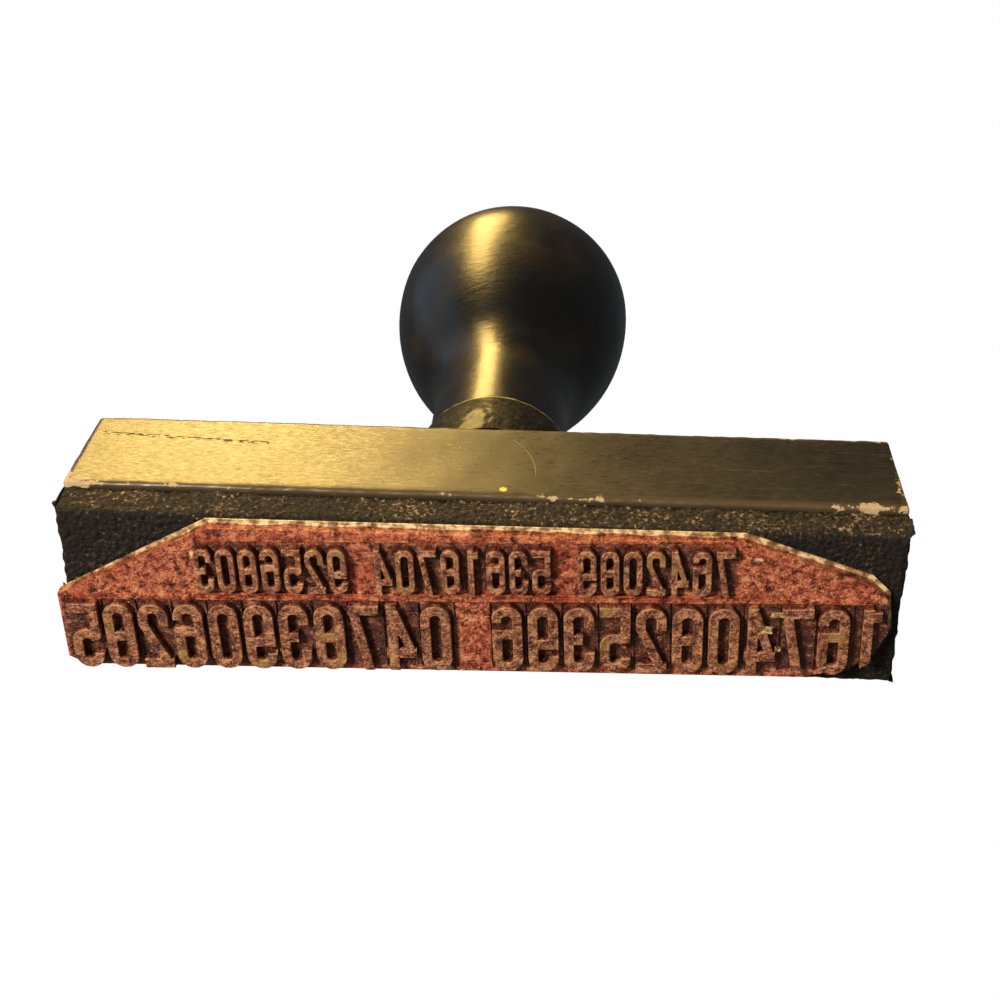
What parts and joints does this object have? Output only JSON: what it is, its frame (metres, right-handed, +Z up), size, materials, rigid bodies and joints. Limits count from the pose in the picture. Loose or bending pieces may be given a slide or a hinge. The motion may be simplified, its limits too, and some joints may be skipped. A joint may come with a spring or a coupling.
{
  "type": "rubber stamp",
  "caption": "Hand stamp with a pear-shaped screw-on knob, a long dark block, a sponge cushion and a trimmed rubber die with two lines of mirrored numerals",
  "frame": {"origin": "under the middle of the block's box, level with the faces of the type that the stamp stands on", "axes": "X along the lines of type, Y across the block, Z up the handle"},
  "size_m": [0.0932, 0.0324, 0.087],
  "materials": {
    "painted_block": "satin",
    "cement": "matte",
    "sponge_rubber": "rough",
    "red_rubber": "satin",
    "steel": "satin",
    "black_enamel": "rough",
    "black_lacquer": "gloss"
  },
  "bodies": {
    "block": {"mount_block": "painted_block", "mount_cement": "cement", "sponge_cushion": "sponge_rubber", "die_cement": "cement", "rubber_die": "red_rubber", "handle_screw": "steel"},
    "collar": {"handle_collar": "black_enamel"},
    "knob": {"handle_knob": "black_lacquer"}
  },
  "joints": [
    {"name": "knob_turn", "type": "hinge", "parent": "block", "child": "collar", "pos_m": [0, 0, 0.03], "axis": [0, 0, 1], "range_deg": [0, 2160]},
    {"name": "knob_rise", "type": "slide", "parent": "collar", "child": "knob", "axis": [0, 0, 1], "range_m": [0, 0.00762]}
  ],
  "couplings": [
    {"joint": "knob_turn", "follows": "knob_rise", "rad_per_m": 4947.4}
  ]
}
